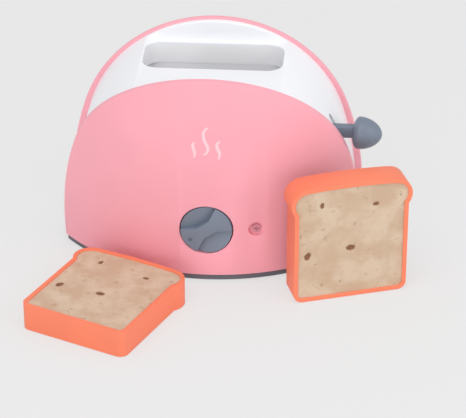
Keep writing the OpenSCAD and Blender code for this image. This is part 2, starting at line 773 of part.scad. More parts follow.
// Bracket glued to the right eye and bush, with a level slot that the lever's drive pin runs in.
module lift_bracket() color(grey) difference() {
    union() {
        box([post_x + 0.5, yoke_y, lever_z - 5.5], [pin_x + lever_side + 6, yoke_y + yoke_t, lever_z + 5.5]);
        box([post_x - 2.5, yoke_y, bush_low + 6], [post_x + 2.5, slot_y - post_d / 2 - 1, lever_z + 5.5]);
    }
    translate([post_x, slot_y, 0]) cylinder(h = lift_z, r = eye_r);
    translate([post_x, slot_y, 0]) cylinder(h = far, r = bush_r);
    box([pin_x - pin_r - 0.3, yoke_y - 1, lever_z - pin_r - slide_gap],
        [pin_x + lever_side + pin_r + 0.3, yoke_y + yoke_t + 1, lever_z + pin_r + slide_gap]);
}

module return_springs() color(steel) for (side = [-1, 1])
    coil(side * post_x, slot_y, deck_z + post_boss_h, bush_low, post_d / 2 + 0.5 + spring_wire / 2,
        spring_wire, spring_turns);

// ---- latch ----

// The tail's tip, seen from the dial's axis, when the latch still has to turn by left degrees.
function tip_at(left) = [
    latch_at[0] + tail_tip[0] * cos(left) + tail_tip[1] * sin(left),
    latch_at[1] - tail_tip[0] * sin(left) + tail_tip[1] * cos(left) - dial_z];

// Outline of the snail cam under the tail: the dial's turn lets the tail down evenly.
function snail() = concat(
    [for (turn = [0 : 15 : dial_turn])
        let (tip = tip_at(latch_open * (1 - turn / dial_turn)), a = atan2(tip[1], tip[0]) + turn,
            r = norm(tip) - 0.4) [r * cos(a), r * sin(a)]],
    let (first = tip_at(latch_open), last = tip_at(0), a0 = atan2(last[1], last[0]) + dial_turn,
        a1 = atan2(first[1], first[0]) + 360, r = norm(last) - 0.4)
        [for (i = [1 : 6]) let (a = a0 + (a1 - 8 - a0) * i / 6) [r * cos(a), r * sin(a)]]);

module latch_lever() color(brass) translate([latch_at[0], 0, latch_at[1]]) rotate([0, latch_open, 0]) {
    hook = catch_low + 0.6 - latch_at[1];
    top = hook + 5.4;
    difference() {
        union() {
            along_y([0, 0], latch_y - latch_t, latch_y, 4);
            translate([0, latch_y, 0]) rotate([90, 0, 0]) linear_extrude(latch_t) {
                polygon([[-4, 0], [4, 0], [2, top], [-5, top]]);
                translate([-11, hook]) square([13, top - hook]);
                polygon([[0, 3.6], [0, -3.6], tail_tip, tail_tip + [-0.5, 3.8]]);
            }
        }
        along_y([0, 0], latch_y - latch_t - 1, latch_y + 1, 2 + slide_gap);
    }
}

module latch_pin() color(steel) {
    along_y(latch_at, latch_y - latch_t - 0.6, chassis_y, 2);
    along_y(latch_at, latch_y - latch_t - 1.8, latch_y - latch_t - 0.5, 4);
}

// ---- dial ----

module dial_knob() color(slate) translate([0, 0, dial_z]) rotate([0, -grip_turn, 0]) difference() {
    along_y([0, 0], dial_face_y, dial_back_y, dial_d / 2);
    for (turn = [0, 180]) rotate([0, turn, 0]) finger_hollow();
    along_y([0, 0], dial_back_y - spindle_seat, dial_back_y + 1, spindle_r);
    translate([-dial_d / 2 + 4.2, dial_face_y, 0]) sphere(1.5, $fn = 32);
}

// Hollow above the grip bar: its floor slopes from the dial's rim down to the bar's side.
module finger_hollow() {
    wide = dial_d;
    flared = grip_w / 2 + grip_flare[1] * (wide - grip_flare[0]);
    intersection() {
        translate([0, dial_back_y, 0]) rotate([90, 0, 0]) linear_extrude(wide)
            polygon([[-grip_flare[0], grip_w / 2], [grip_flare[0], grip_w / 2], [wide, flared],
                [wide, wide], [-wide, wide], [-wide, flared]]);
        translate([0, dial_face_y, dial_d / 2]) rotate([atan2(hollow_depth, dial_d / 2 - grip_w / 2), 0, 0])
            box([-wide, -wide, -wide], [wide, 0, wide]);
    }
}

module dial_spindle() color(steel) {
    along_y([0, dial_z], dial_back_y - spindle_seat, chassis_front - 0.4, spindle_r);
    translate([0, latch_y, dial_z]) rotate([90, 0, 0]) linear_extrude(latch_t) polygon(snail());
}

// ---- timer ----

module timer_plate(y) color(brass) difference() {
    box([timer_x[0], y, timer_z[0]], [timer_x[1], y + plate_t, timer_z[1]]);
    along_y([0, dial_z], y - 1, y + plate_t + 1, spindle_r + slide_gap);
    for (at = [second_at, escape_at, pallet_at]) along_y(at, y - 1, y + plate_t + 1, pivot_r + slide_gap / 2);
    for (at = timer_holes) along_y(at, y - 1, y + plate_t + 1, timer_screw_r + slide_gap);
}

module timer_front_plate() timer_plate(front_plate_y - plate_t);

module timer_back_plate() {
    timer_plate(back_plate_y - plate_t);
    color(brass) along_y([stud_at * cos(spring_stud_a), dial_z + stud_at * sin(spring_stud_a)],
        mainspring_y, back_plate_y - plate_t, 1);
}

module timer_pillars() color(steel) for (at = timer_holes) difference() {
    along_y(at, front_plate_y, back_plate_y - plate_t, 2.4);
    along_y(at, front_plate_y - 1, back_plate_y + 1, timer_screw_r + slide_gap);
}

module timer_screws() color(steel) for (at = timer_holes)
    translate([at[0], front_plate_y - plate_t, at[1]]) rotate([-90, 0, 0])
        screw(chassis_front - front_plate_y + plate_t, timer_screw_r, 2.2);

// Turned so that its teeth mesh with the pinion's.
module main_wheel() color(brass) difference() {
    union() {
        gear_y([0, dial_z], main_y, main_teeth, 2, second_a);
        along_y([0, dial_z], main_y, main_y + 4.5, 4.2);
    }
    along_y([0, dial_z], main_y - 1, main_y + 6, spindle_r);
    for (k = [0 : 4]) along_y([9.5 * cos(72 * k), dial_z + 9.5 * sin(72 * k)], main_y - 1, main_y + 3, 3);
}

module arbor(at) {
    along_y(at, front_plate_y + 0.2, back_plate_y - plate_t - 0.2, arbor_r);
    along_y(at, front_plate_y - plate_t + 0.2, back_plate_y - 0.2, pivot_r);
}

module second_wheel() color(brass) {
    gear_y(second_at, main_y - 0.4, pinion_teeth, 2.8, second_a + 180 + 180 / pinion_teeth);
    difference() {
        gear_y(second_at, second_y, second_teeth, 1.6, escape_a);
        for (k = [0 : 3]) along_y([second_at[0] + 7 * cos(90 * k), second_at[1] + 7 * sin(90 * k)],
            second_y - 1, second_y + 3, 2.6);
    }
    arbor(second_at);
}

module escape_wheel() color(brass) {
    gear_y(escape_at, second_y - 0.5, escape_pinion_teeth, 2.6,
        escape_a + 180 + 180 / escape_pinion_teeth);
    translate([escape_at[0], escape_y + 1.4, escape_at[1]]) rotate([90, 0, 0]) linear_extrude(1.4)
        polygon([for (k = [0 : escape_teeth - 1]) let (a = 360 * k / escape_teeth) each
            [[escape_r * cos(a), escape_r * sin(a)],
            [escape_r * 0.72 * cos(a + 6), escape_r * 0.72 * sin(a + 6)],
            [escape_r * 0.72 * cos(a + 20), escape_r * 0.72 * sin(a + 20)]]]);
    arbor(escape_at);
}

// Anchor that rocks on its arbor and lets the escape wheel past one tooth at a time.
module pallet() color(steel) {
    translate([pallet_at[0], escape_y + 1.4, pallet_at[1]]) rotate([90, 0, 0]) linear_extrude(1.4)
        rotate(pallet_a + 180) difference() {
            union() {
                circle(2.4, $fn = 48);
                polygon([[-1, -1.6], [3, -6.7], [4.6, -6.2], [1.7, 0], [4.6, 6.2], [3, 6.7], [-1, 1.6]]);
            }
            circle(pivot_r, $fn = 32);
        }
    arbor(pallet_at);
}

module mainspring() color(steel) translate([0, mainspring_y + mainspring_l, dial_z])
    rotate([90, 0, 0]) linear_extrude(mainspring_l)
        polygon(spiral(spindle_r, spring_out_r, 4 + spring_stud_a / 360, spring_strip, 110));

// ---- bread ----

// Outline of a slice standing on its foot, set in by inset.
module slice_outline(inset) {
    half = slice_w / 2 - inset;
    r = foot_corner_r - min(inset, foot_corner_r - 1);
    ear = ear_r - inset;
    ear_z = slice_h - ear_r - 1.2;
    for (side = [-1, 1]) {
        translate([side * (half - r), inset + r]) circle(r, $fn = 48);
        translate([side * (slice_w / 2 + ear_out - ear_r), ear_z]) circle(ear, $fn = 64);
    }
    translate([-half + r, inset]) square([2 * (half - r), slice_h / 2]);
    translate([-half, inset + r]) square([2 * half, ear_z - inset - r]);
    intersection() {
        translate([0, slice_h - top_bow_r]) circle(top_bow_r - inset, $fn = 360);
        translate([-slice_w / 2 - ear_out + ear_r, inset + r])
            square([slice_w + 2 * ear_out - 2 * ear_r, slice_h]);
    }
}

module slice_crust() difference() {
    linear_extrude(slice_t) slice_outline(0);
    translate([0, 0, -eps]) linear_extrude((slice_t - web_t) / 2 + eps) slice_outline(crust_w);
    translate([0, 0, (slice_t + web_t) / 2]) linear_extrude(slice_t) slice_outline(crust_w);
}

module slice_pads() {
    pad_t = (slice_t - web_t) / 2 - face_drop;
    translate([0, 0, face_drop]) linear_extrude(pad_t) slice_outline(crust_w);
    translate([0, 0, (slice_t + web_t) / 2]) linear_extrude(pad_t) slice_outline(crust_w);
}

// Lying on the table with its ears away from the front.
module lay_flat() {
    translate([flat_slice_at[0], flat_slice_at[1], 0]) rotate(flat_slice_turn)
        translate([slice_w / 2, 0, 0]) children();
}

// Standing on its foot edge.
module stand_up() {
    translate([upright_slice_at[0], upright_slice_at[1], 0]) rotate(upright_slice_turn)
        translate([slice_w / 2, slice_t, 0]) rotate([90, 0, 0]) children();
}

module flat_slice_crust() color(orange) lay_flat() slice_crust();
module flat_slice_pads() color(bread) lay_flat() slice_pads();
module upright_slice_crust() color(orange) stand_up() slice_crust();
module upright_slice_pads() color(bread) stand_up() slice_pads();

front_panel();
back_panel();
body_shell();
slot_collar();
toast_well();
well_walls();
chassis();
base_tray();
rubber_pads();
base_screws();
back_screws();
front_screw();
guide_posts();
carriage();
lift_bushes();
lift_catch();
lift_bracket();
lever_rail();
lever();
lever_knob();
return_springs();
latch_lever();
latch_pin();
dial_knob();
dial_spindle();
main_wheel();
second_wheel();
escape_wheel();
pallet();
timer_front_plate();
timer_back_plate();
timer_pillars();
timer_screws();
mainspring();
flat_slice_crust();
flat_slice_pads();
upright_slice_crust();
upright_slice_pads();
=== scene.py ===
"""Dressed scene of a toy toaster with a wind-up dial, a push-down lever and two slices of play bread."""
from __future__ import annotations

import logging
import math
from dataclasses import dataclass, field
from enum import Enum
from typing import Callable, Sequence, Union

import bmesh
import bpy
from mathutils import Matrix, Vector, noise


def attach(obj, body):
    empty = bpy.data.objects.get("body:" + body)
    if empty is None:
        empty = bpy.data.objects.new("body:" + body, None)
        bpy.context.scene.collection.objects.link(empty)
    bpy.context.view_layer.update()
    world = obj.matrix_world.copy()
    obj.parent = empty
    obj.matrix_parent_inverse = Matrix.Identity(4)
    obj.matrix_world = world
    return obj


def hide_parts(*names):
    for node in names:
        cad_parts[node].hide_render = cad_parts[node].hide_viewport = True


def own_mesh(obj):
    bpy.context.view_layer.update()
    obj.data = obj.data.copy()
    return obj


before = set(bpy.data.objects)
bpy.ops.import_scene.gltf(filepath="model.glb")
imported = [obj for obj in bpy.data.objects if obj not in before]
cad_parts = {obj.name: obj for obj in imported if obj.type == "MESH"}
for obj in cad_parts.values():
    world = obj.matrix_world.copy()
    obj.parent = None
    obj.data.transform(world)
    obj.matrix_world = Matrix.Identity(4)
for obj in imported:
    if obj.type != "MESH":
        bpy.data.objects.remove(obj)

LOG = logging.getLogger("toaster")
MM = 0.001

Colour = tuple[float, float, float, float]


def colour(red: int, green: int, blue: int) -> Colour:
    """Turns a screen colour of three bytes into the linear colour that shaders use.

    Args:
        red: Red, 0 to 255.
        green: Green, 0 to 255.
        blue: Blue, 0 to 255.

    Returns:
        The linear colour with full alpha.
    """
    def linear(byte: int) -> float:
        """One channel, from screen to linear."""
        part = byte / 255
        return part / 12.92 if part <= 0.04045 else ((part + 0.055) / 1.055) ** 2.4

    return (linear(red), linear(green), linear(blue), 1.0)


# ---- shader building ----


class Field:
    """One output socket of a material, with Python's arithmetic on values."""

    def __init__(self, shader: Shader, socket: bpy.types.NodeSocket) -> None:
        """Keeps the socket and the shader that it is in."""
        self.shader = shader
        self.socket = socket

    def _math(self, operation: str, first: Value, second: Value) -> Field:
        """Adds one Math node.

        Args:
            operation: The node's operation.
            first: First value or field.
            second: Second value or field.

        Returns:
            The node's result.
        """
        return self.shader.node("ShaderNodeMath", {"operation": operation}, {0: first, 1: second})

    def __add__(self, other: Value) -> Field:
        """Sum."""
        return self._math("ADD", self, other)

    def __radd__(self, other: Value) -> Field:
        """Sum with a number in front."""
        return self._math("ADD", other, self)

    def __sub__(self, other: Value) -> Field:
        """Difference."""
        return self._math("SUBTRACT", self, other)

    def __rsub__(self, other: Value) -> Field:
        """Difference from a number."""
        return self._math("SUBTRACT", other, self)

    def __mul__(self, other: Value) -> Field:
        """Product."""
        return self._math("MULTIPLY", self, other)

    def __rmul__(self, other: Value) -> Field:
        """Product with a number in front."""
        return self._math("MULTIPLY", other, self)

    def within(self, low: float, high: float) -> Field:
        """Rises smoothly from zero at low to one at high.

        Args:
            low: Value that gives zero.
            high: Value that gives one.

        Returns:
            The eased field.
        """
        settings = {"interpolation_type": "SMOOTHSTEP"}
        return self.shader.node("ShaderNodeMapRange", settings, {0: self, 1: low, 2: high, 3: 0.0, 4: 1.0})


Value = Union[Field, float]


class Shader:
    """A material that is built up node by node round one Principled shader."""

    def __init__(self, name: str, **constants: float | Colour) -> None:
        """Starts the material.

        Args:
            name: Name of the material.
            constants: Values set on the Principled shader, with underscores for spaces.
        """
        self.material = bpy.data.materials.new(name)
        self.material.use_nodes = True
        self.tree = self.material.node_tree
        self.surface = self.tree.nodes["Principled BSDF"]
        for key, value in constants.items():
            self.surface.inputs[key.replace("_", " ")].default_value = value
        self.place = self.node("ShaderNodeTexCoord", output="Object")

    def node(self, kind: str, settings: dict | None = None, inputs: dict | None = None,
             output: str | int = 0) -> Field:
        """Adds any node.

        Args:
            kind: The node's type.
            settings: Its properties, set first. A ramp's stops go under "stops".
            inputs: Values or fields for its sockets, by name or number.
            output: The output to return.

        Returns:
            The chosen output as a field.
        """
        made = self.tree.nodes.new(kind)
        for key, value in (settings or {}).items():
            if key == "stops":
                ramp = made.color_ramp
                while len(ramp.elements) < len(value):
                    ramp.elements.new(0.5)
                for element, (position, tint) in zip(ramp.elements, value):
                    element.position = position
                    element.color = tint
            else:
                setattr(made, key, value)
        for key, value in (inputs or {}).items():
            if isinstance(value, Field):
                self.tree.links.new(value.socket, made.inputs[key])
            else:
                made.inputs[key].default_value = value
        return Field(self, made.outputs[output])

    def feed(self, socket: str, value: Field) -> None:
        """Links a field to a socket of the Principled shader."""
        self.tree.links.new(value.socket, self.surface.inputs[socket])

    def cloud(self, scale: float, detail: float = 3.0, rough: float = 0.55) -> Field:
        """Soft noise over the object, about 0.5 on average.

        Args:
            scale: Waves per metre.
            detail: Octaves.
            rough: Strength of the finer octaves.

        Returns:
            The noise.
        """
        return self.node("ShaderNodeTexNoise", inputs={
            "Vector": self.place, "Scale": scale, "Detail": detail, "Roughness": rough})

    def blend(self, amount: Value, first: Field | Colour, second: Field | Colour) -> Field:
        """Mixes two colours.

        Args:
            amount: Share of the second colour.
            first: First colour.
            second: Second colour.

        Returns:
            The mixed colour.
        """
        return self.node("ShaderNodeMix", {"data_type": "RGBA"}, {0: amount, 6: first, 7: second}, output=2)

    def relief(self, height: Field, depth: float, strength: float = 1.0) -> None:
        """Bumps the surface.

        Args:
            height: Height field, 0 to 1.
            depth: Height of 1 in metres.
            strength: Strength of the bump.
        """
        self.feed("Normal", self.node("ShaderNodeBump", inputs={
            "Height": height, "Distance": depth, "Strength": strength}, output="Normal"))


class Grain(Enum):
    """How a moulded surface is textured."""

    POLISHED = (0.10, 0.00002)
    SATIN = (0.55, 0.00004)
    SPARKED = (1.0, 0.00010)


@dataclass(frozen=True)
class Moulded:
    """Moulded plastic: slightly uneven colour and gloss, a fine texture and faint scuffs.

    Attributes:
        name: Name of the material.
        tint: Base colour.
        roughness: Mean roughness.
        grain: Texture of the mould.
        uneven: How far the colour drifts over the piece.
        scuffs: Strength of the fine handling marks.
    """

    name: str
    tint: Colour
    roughness: float = 0.4
    grain: Grain = Grain.SATIN
    uneven: float = 0.05
    scuffs: float = 0.12

    def build(self) -> Shader:
        """Makes the material.

        Returns:
            The finished shader.
        """
        shader = Shader(self.name, Specular_IOR_Level=0.42, Coat_Roughness=0.3)
        drift = shader.cloud(16.0, 2.0)
        fine = shader.cloud(1400.0, 2.0, 0.6)
        streaks = shader.node("ShaderNodeTexNoise", inputs={
            "Vector": shader.node("ShaderNodeMapping", inputs={
                "Vector": shader.place, "Rotation": (0.4, 0.9, 0.2), "Scale": (1.0, 9.0, 5.0)}),
            "Scale": 90.0, "Detail": 4.0, "Roughness": 0.65})
        rubbed = streaks.within(0.64, 0.78)
        darker = tuple(part * (1 - self.uneven) for part in self.tint[:3]) + (1.0,)
        lighter = tuple(min(1.0, part * (1 + self.uneven * 0.6)) for part in self.tint[:3]) + (1.0,)
        shader.feed("Base Color", shader.blend(drift.within(0.3, 0.7), darker, lighter))
        shader.feed("Roughness", self.roughness + (drift - 0.5) * 0.10
                    + rubbed * self.scuffs + (fine - 0.5) * 0.06)
        level, depth = self.grain.value
        shader.relief(fine * level + rubbed * 0.25, depth, 0.6)
        return shader


@dataclass(frozen=True)
class Metal:
    """Plated, drawn or stamped metal with fine drawing lines.

    Attributes:
        name: Name of the material.
        tint: Base colour.
        roughness: Mean roughness.
        lines: Stretch of the drawing lines along X, Y and Z.
    """

    name: str
    tint: Colour
    roughness: float = 0.32
    lines: tuple[float, float, float] = (14.0, 14.0, 1.0)

    def build(self) -> Shader:
        """Makes the material.

        Returns:
            The finished shader.
        """
        shader = Shader(self.name, Metallic=1.0)
        drawn = shader.node("ShaderNodeTexNoise", inputs={
            "Vector": shader.node("ShaderNodeMapping", inputs={"Vector": shader.place, "Scale": self.lines}),
            "Scale": 160.0, "Detail": 4.0, "Roughness": 0.6})
        tarnish = shader.cloud(60.0, 4.0)
        dull = tuple(part * 0.72 for part in self.tint[:3]) + (1.0,)
        shader.feed("Base Color", shader.blend(tarnish.within(0.45, 0.75), self.tint, dull))
        shader.feed("Roughness", self.roughness + (drawn - 0.5) * 0.22 + tarnish.within(0.5, 0.8) * 0.12)
        shader.relief(drawn, 0.00002, 0.5)
        return shader


@dataclass(frozen=True)
class Crumb:
    """Bread face of the play slices: tan, blotchy, with darker specks and painted shade in the holes.

    The holes are darkened to brown as painted shade, by the depth that the attribute "hole" carries.
    """

    name: str = "play_bread_crumb"
    pale: Colour = colour(210, 188, 164)
    tan: Colour = colour(197, 169, 143)
    speck: Colour = colour(178, 148, 118)
    # Painted shade: the dark brown that the holes are darkened to.
    hole: Colour = colour(132, 92, 66)

    def build(self) -> Shader:
        """Makes the material.

        Returns:
            The finished shader.
        """
        shader = Shader(self.name, Specular_IOR_Level=0.25)
        blotch = shader.cloud(55.0, 3.0)
        pores = shader.node("ShaderNodeTexNoise", inputs={
            "Vector": shader.place, "Scale": 190.0, "Detail": 2.0, "Roughness": 0.5, "Distortion": 0.6})
        fine = shader.cloud(900.0, 3.0, 0.7)
        # The holes' depth darkens them to brown here, as painted shade.
        hole = shader.node("ShaderNodeAttribute", {"attribute_name": "hole"}, output="Fac")
        base = shader.blend(blotch.within(0.35, 0.65), self.pale, self.tan)
        specked = shader.blend(pores.within(0.62, 0.74) * 0.55, base, self.speck)
        shader.feed("Base Color", shader.blend(hole.within(0.15, 0.75), specked, self.hole))
        shader.feed("Roughness", 0.62 + (fine - 0.5) * 0.2)
        shader.relief(fine * 0.5 + pores * 0.7, 0.00025, 0.55)
        return shader


@dataclass(frozen=True)
class Rubber:
    """Soft dark rubber with a dusty bloom."""

    name: str = "pad_rubber"
    tint: Colour = colour(52, 52, 55)

    def build(self) -> Shader:
        """Makes the material.

        Returns:
            The finished shader.
        """
        shader = Shader(self.name, Specular_IOR_Level=0.3)
        bloom = shader.cloud(120.0, 4.0)
        pale = tuple(part * 1.8 + 0.01 for part in self.tint[:3]) + (1.0,)
        shader.feed("Base Color", shader.blend(bloom.within(0.5, 0.8) * 0.6, self.tint, pale))
        shader.feed("Roughness", 0.75 + (bloom - 0.5) * 0.2)
        shader.relief(shader.cloud(1600.0), 0.00005, 0.5)
        return shader


# ---- meshes ----


def finish_piece(name: str, mesh: bmesh.types.BMesh, body: str, shader: Shader,
                 replaced: Sequence[str] = (), sharp: float = 38.0) -> bpy.types.Object:
    """Makes an object of a bmesh, smooth but for its sharp edges, and puts it on its body.

    Args:
        name: Name of the piece.
        mesh: The bmesh, which is freed.
        body: CAD body that the piece rides on.
        shader: Its material.
        replaced: CAD nodes that it stands for.
        sharp: Angle in degrees above which an edge stays sharp.

    Returns:
        The object.
    """
    for face in mesh.faces:
        face.smooth = True
    for edge in mesh.edges:
        if len(edge.link_faces) == 2 and edge.calc_face_angle(0.0) > math.radians(sharp):
            edge.smooth = False
    data = bpy.data.meshes.new(name)
    mesh.to_mesh(data)
    mesh.free()
    data.materials.append(shader.material)
    piece = bpy.data.objects.new(name, data)
    bpy.context.scene.collection.objects.link(piece)
    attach(piece, body)
    if replaced:
        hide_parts(*replaced)
    LOG.info("%s: %d faces, on %s", name, len(data.polygons), body)
    return piece


def clean_copy(node: str) -> bmesh.types.BMesh:
    """Copies a CAD node's mesh, merged and with its flat faces whole again.

    Args:
        node: The CAD node.

    Returns:
        The copy.
    """
    mesh = bmesh.new()
    mesh.from_mesh(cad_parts[node].data)
    bmesh.ops.remove_doubles(mesh, verts=mesh.verts, dist=2e-6)
    bmesh.ops.dissolve_limit(mesh, angle_limit=math.radians(0.4), verts=mesh.verts, edges=mesh.edges)
    return mesh


def round_edges(mesh: bmesh.types.BMesh, radius: float, angle: float = 32.0, segments: int = 3,
                where: Callable[[Vector], bool] = lambda spot: True) -> None:
    """Rounds the sharp edges of a mesh.

    Args:
        mesh: The bmesh.
        radius: Width of the rounding in metres.
        angle: Smallest angle between faces, in degrees, that is rounded.
        segments: Facets over the rounding.
        where: Tells by an edge's middle whether it is rounded.
    """
    chosen = []
    for edge in mesh.edges:
        if len(edge.link_faces) != 2 or edge.calc_face_angle(0.0) < math.radians(angle):
            continue
        if where((edge.verts[0].co + edge.verts[1].co) / 2):
            chosen.append(edge)
    if chosen:
        bmesh.ops.bevel(mesh, geom=chosen, offset=radius, offset_type="OFFSET", affect="EDGES",
                        segments=segments, profile=0.5, material=-1, clamp_overlap=True)


def away(spot: Vector, at: tuple[float, float]) -> float:
    """Distance of a spot from an axis along Y.

    Args:
        spot: The spot, in metres.
        at: X and Z of the axis, in millimetres.

    Returns:
        The distance in metres.
    """
    return math.hypot(spot.x - at[0] * MM, spot.z - at[1] * MM)


def dress(nodes: Sequence[str], shader: Shader) -> None:
    """Gives CAD nodes a material in place of their plain one.

    Args:
        nodes: The CAD nodes.
        shader: The material.
    """
    for node in nodes:
        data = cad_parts[node].data
        if not data.materials:
            data.materials.append(shader.material)
        for index in range(len(data.materials)):
            data.materials[index] = shader.material
        LOG.info("%s: dressed in %s", node, shader.material.name)


# ---- sub-assemblies ----


@dataclass
class Casing:
    """The outer body: two pink panels, the white shell between them and the grey base."""

    rim: float = 1.2 * MM
    hole_rim: float = 0.4 * MM
    slot_rim: float = 0.9 * MM
    lip_rim: float = 0.5 * MM
    base_rim: float = 0.6 * MM
    panel_foot: float = 5.5 * MM
    dial_reach: float = 24 * MM
    screw_reach: float = 9 * MM
    back_screw_reach: float = 5 * MM
    slot_half: float = 48.7 * MM
    slot_span: tuple[float, float] = (-4.6 * MM, 37.4 * MM)
    bow_radius: float = 134 * MM
    bow_middle: float = 79 * MM
    dial_at: tuple[float, float] = (0.0, 40.5)
    screw_at: tuple[float, float] = (34.3, 40.5)
    back_screws: tuple = ((70.9, 109.5), (93.1, 28.0))
    floor_z: float = 138.5
    floor_radius: float = 92.0
    floor_middle: float = 42.5
    floor_back: float = 42.0
    print_lift: float = 0.05 * MM
    pink: Moulded = Moulded("pink_plastic", colour(246, 168, 181), 0.42, uneven=0.03)
    white: Moulded = Moulded("white_plastic", colour(243, 244, 248), 0.3, Grain.POLISHED, uneven=0.012)
    grey: Moulded = Moulded("base_plastic", colour(104, 107, 114), 0.5)
    ink: Moulded = Moulded("print_ink", colour(246, 206, 214), 0.5, Grain.POLISHED)
    wisps: tuple = (
        ((1.7, 119.5), (-0.4, 117.9), (-1.4, 115.3), (-1.3, 111.8), (-0.3, 108.4), (1.2, 105.5),
         (1.4, 102.6), (0.4, 100.1), (-1.6, 98.7)),
        ((-7.6, 108.3), (-8.7, 106.4), (-8.5, 104.2), (-7.8, 101.9), (-7.4, 99.5), (-7.8, 96.5)),
        ((9.6, 109.6), (7.9, 107.7), (7.5, 105.9), (8.2, 103.5), (9.2, 100.8), (9.3, 98.4), (8.6, 95.7)))

    def build(self) -> None:
        """Makes the casing's pieces."""
        pink = self.pink.build()
        white = self.white.build()
        grey = self.grey.build()
        self.front(pink)
        self.back(pink)
        self.shell(white)
        self.base(grey)
        self.steam()
        dress(["rubber_pads"], Rubber().build())

    def front(self, shader: Shader) -> None:
        """Front panel with a softly rounded rim and crisper edges at the cup and the screw's recess."""
        def outer(spot: Vector) -> bool:
            """Whether a spot is on the bowed outer face."""
            return math.hypot(spot.x, spot.y - self.bow_middle) > self.bow_radius - 0.2 * MM

        def at_hole(spot: Vector) -> bool:
            """Whether a spot is at the dial's cup, the screw's recess or the foot of the panel."""
            return (spot.z < self.panel_foot or away(spot, self.dial_at) < self.dial_reach
                    or away(spot, self.screw_at) < self.screw_reach)

        mesh = clean_copy("front_panel")
        round_edges(mesh, self.rim, segments=4, where=lambda spot: outer(spot) and not at_hole(spot))
        round_edges(mesh, self.hole_rim, where=lambda spot: outer(spot) and at_hole(spot))
        finish_piece("front_panel_rounded", mesh, "toaster", shader, ["front_panel"])

    def back(self, shader: Shader) -> None:
        """Back panel with a softly rounded rim and crisper edges at the screw holes."""
        def at_hole(spot: Vector) -> bool:
            """Whether a spot is at a screw hole or the foot of the panel."""
            mirrored = Vector((abs(spot.x), spot.y, spot.z))
            return spot.z < self.panel_foot or any(
                away(mirrored, at) < self.back_screw_reach for at in self.back_screws)

        mesh = clean_copy("back_panel")
        round_edges(mesh, self.rim, segments=4, where=lambda spot: not at_hole(spot))
        round_edges(mesh, self.hole_rim, where=at_hole)
        finish_piece("back_panel_rounded", mesh, "toaster", shader, ["back_panel"])

    def shell(self, shader: Shader) -> None:
        """White shell with soft edges at the slot and along the lips of the sunken floor."""
        def at_slot(spot: Vector) -> bool:
            """Whether a spot is on the slot's upper edge."""
            return (abs(spot.z - self.floor_z * MM) < 0.1 * MM and abs(spot.x) < self.slot_half
                    and self.slot_span[0] < spot.y < self.slot_span[1])

        def at_lip(spot: Vector) -> bool:
            """Whether a spot is on the upper edge of a lip."""
            from_middle = math.hypot(spot.x, spot.y - self.floor_middle * MM)
            front = abs(from_middle - self.floor_radius * MM) < 0.2 * MM
            back = abs(spot.y - self.floor_back * MM) < 0.1 * MM
            return spot.z > (self.floor_z + 0.5) * MM and (front or back)

        mesh = clean_copy("body_shell")
        round_edges(mesh, self.slot_rim, where=at_slot)
        round_edges(mesh, self.lip_rim, where=at_lip)
        finish_piece("body_shell_rounded", mesh, "toaster", shader, ["body_shell"])

    def base(self, shader: Shader) -> None:
        """Base tray with a rounded lower edge."""
        mesh = clean_copy("base_tray")
        round_edges(mesh, self.base_rim, where=lambda spot: spot.z < 1 * MM and abs(spot.x) > 100 * MM
                    or math.hypot(spot.x, spot.y - self.bow_middle) > self.bow_radius - 2 * MM)
        finish_piece("base_tray_rounded", mesh, "toaster", shader, ["base_tray"])

    def steam(self) -> None:
        """Three wisps of steam printed on the bowed front."""
        mesh = bmesh.new()
        for line in self.wisps:
            self.wisp(mesh, [Vector((x * MM, 0.0, z * MM)) for x, z in line])
        for vert in mesh.verts:
            x = vert.co.x
            proud = self.bow_radius + self.print_lift if vert.co.y < 0.5 else self.bow_radius - 0.1 * MM
            vert.co.y = self.bow_middle - math.sqrt(proud ** 2 - x ** 2)
        bmesh.ops.recalc_face_normals(mesh, faces=mesh.faces)
        finish_piece("steam_print", mesh, "toaster", self.ink.build())

    def wisp(self, mesh: bmesh.types.BMesh, line: list[Vector]) -> None:
        """Adds one tapering stroke, as a thin closed strip in the plane y = 0 to 1.

        Args:
            mesh: The bmesh to add to.
            line: Middle of the stroke, from its top to its foot.
        """
        stations = smooth_line(line, 4)
        count = len(stations) - 1
        rail: list[bmesh.types.BMVert] = []
        edge = None
        for index, spot in enumerate(stations):
            before = stations[max(index - 1, 0)]
            after = stations[min(index + 1, count)]
            along = (after - before).normalized()
            across = Vector((-along.z, 0.0, along.x))
            half = (0.35 + 0.75 * math.sin(math.pi * min(1.0, 0.12 + 0.8 * index / count))) * MM
            if edge is None:
                rail = [mesh.verts.new(spot - across * half), mesh.verts.new(spot + across * half)]
                edge = mesh.edges.new(rail)
                continue
            grown = bmesh.ops.extrude_edge_only(mesh, edges=[edge])["geom"]
            fresh = [part for part in grown if isinstance(part, bmesh.types.BMVert)]
            edge = next(part for part in grown if isinstance(part, bmesh.types.BMEdge)
                        and all(vert in fresh for vert in part.verts))
            old_left = rail[0]
            left = next(vert for vert in fresh
                        if any(link.other_vert(vert) == old_left for link in vert.link_edges))
            right = next(vert for vert in fresh if vert is not left)
            left.co = spot - across * half
            right.co = spot + across * half
            rail = [left, right]
        faces = [face for face in mesh.faces if all(vert.co.y < 0.5 for vert in face.verts)
                 and face.tag is False]
        strip = bmesh.ops.extrude_face_region(mesh, geom=faces, use_keep_orig=True)["geom"]
        for part in strip:
            if isinstance(part, bmesh.types.BMVert):
                part.co.y += 1.0
        for face in mesh.faces:
            face.tag = True


